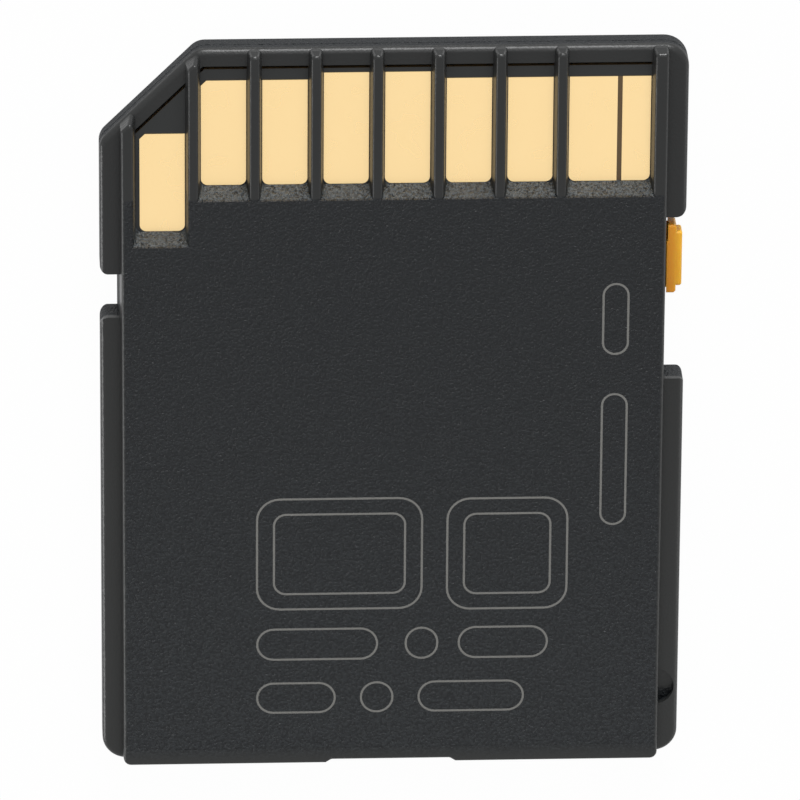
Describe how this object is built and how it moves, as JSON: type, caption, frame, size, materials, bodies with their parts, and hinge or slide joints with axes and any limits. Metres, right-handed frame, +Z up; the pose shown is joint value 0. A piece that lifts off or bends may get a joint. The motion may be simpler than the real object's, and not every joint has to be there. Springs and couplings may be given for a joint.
{
  "type": "memory card",
  "caption": "Flat rectangular memory card with a cut corner, ribbed channels over gold contact fingers, stepped guide edges, a side notch and a sliding write-protect tab.",
  "frame": {"origin": "centre of the card's outline on the label side", "axes": "+Y to the contact end, +X to the slider edge, +Z up out of the contact side"},
  "size_m": [0.024, 0.032, 0.0021],
  "materials": {
    "shell_black": "fine spark-eroded texture on the back, smooth on the ledges",
    "slider_orange": "satin",
    "contact_gold": "satin gold plating",
    "board_dark": "solder mask",
    "package_black": "moulded",
    "capacitor_ceramic": "fired",
    "resistor_body": "glazed"
  },
  "bodies": {
    "card": {"back_shell": "shell_black", "front_shell": "shell_black", "circuit_board": "board_dark", "contact_1": "contact_gold", "contact_2": "contact_gold", "contact_3": "contact_gold", "contact_4": "contact_gold", "contact_5": "contact_gold", "contact_6": "contact_gold", "contact_7": "contact_gold", "contact_8": "contact_gold", "contact_9": "contact_gold", "memory_chip": "package_black", "controller_chip": "package_black", "capacitor_1": "capacitor_ceramic", "capacitor_2": "capacitor_ceramic", "capacitor_3": "capacitor_ceramic", "capacitor_4": "capacitor_ceramic", "resistor_1": "resistor_body", "resistor_2": "resistor_body", "resistor_3": "resistor_body", "resistor_4": "resistor_body", "resistor_5": "resistor_body", "resistor_6": "resistor_body"},
    "slider": {"write_protect_slider": "slider_orange"}
  },
  "joints": [
    {"name": "write_protect_slide", "type": "slide", "parent": "card", "child": "slider", "axis": [0, -1, 0], "range_m": [0, 0.00338]}
  ]
}
